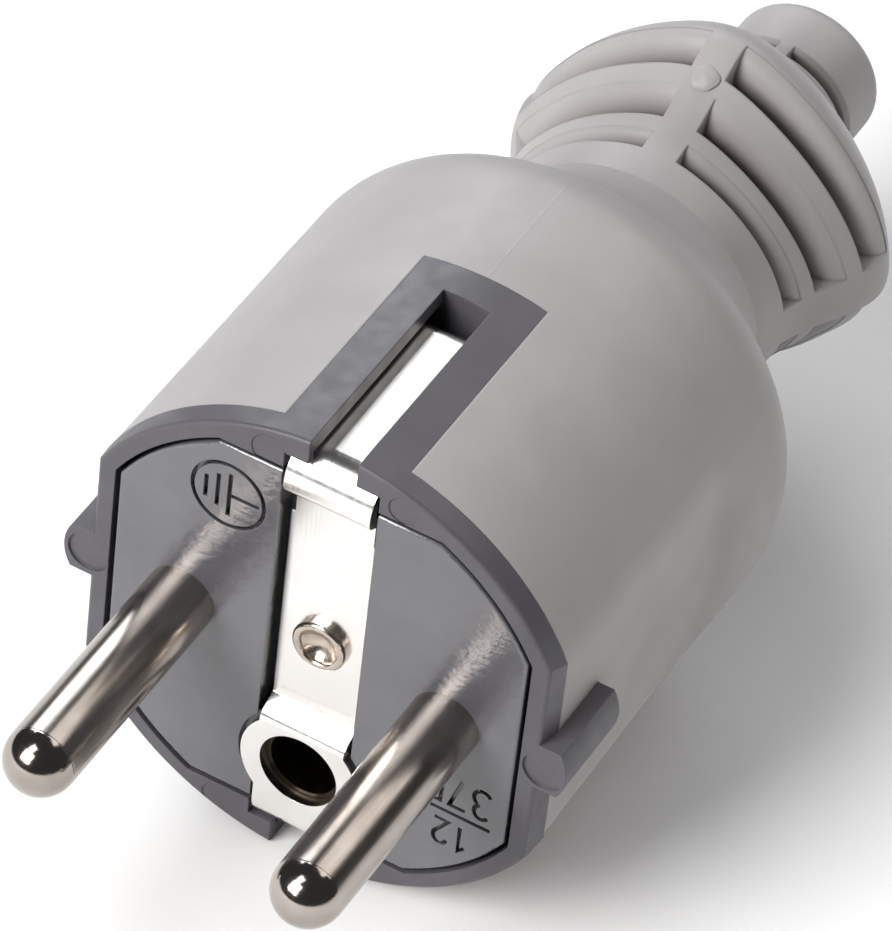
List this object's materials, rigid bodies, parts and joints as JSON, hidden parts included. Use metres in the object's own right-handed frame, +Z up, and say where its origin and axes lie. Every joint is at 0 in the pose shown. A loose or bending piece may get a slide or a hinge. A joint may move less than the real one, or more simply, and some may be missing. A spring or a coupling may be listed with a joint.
{
  "type": "type f plug",
  "caption": "Earthed mains plug with round pins, side earth contacts and an earth-pin hole, moulded into a grip with a ribbed strain relief.",
  "frame": {"origin": "on the engagement face, midway between the two pins", "axes": "+X from the line pin to the neutral pin, +Y along the cord, away from the pins, +Z up, with the earth-pin hole below the pins"},
  "size_m": [0.0362, 0.0859, 0.0362],
  "materials": {
    "grip_grey": "light grey soft PVC, satin",
    "collar_grey": "dark grey moulded plastic, satin",
    "plate_grey": "dark grey moulded plastic, fine texture",
    "pin_nickel": "nickel-plated brass, polished",
    "strip_nickel": "nickel-plated sheet, fine brushing",
    "rivet_nickel": "nickel-plated, polished",
    "socket_brass": "spring brass",
    "lug_brass": "brass sheet"
  },
  "bodies": {
    "root": {"overmould_body": "grip_grey", "collar_frame": "collar_grey", "face_plate": "plate_grey", "line_pin": "pin_nickel", "neutral_pin": "pin_nickel", "earth_strip": "strip_nickel", "earth_rivet": "rivet_nickel", "earth_socket": "socket_brass", "earth_lug": "lug_brass"}
  },
  "joints": []
}
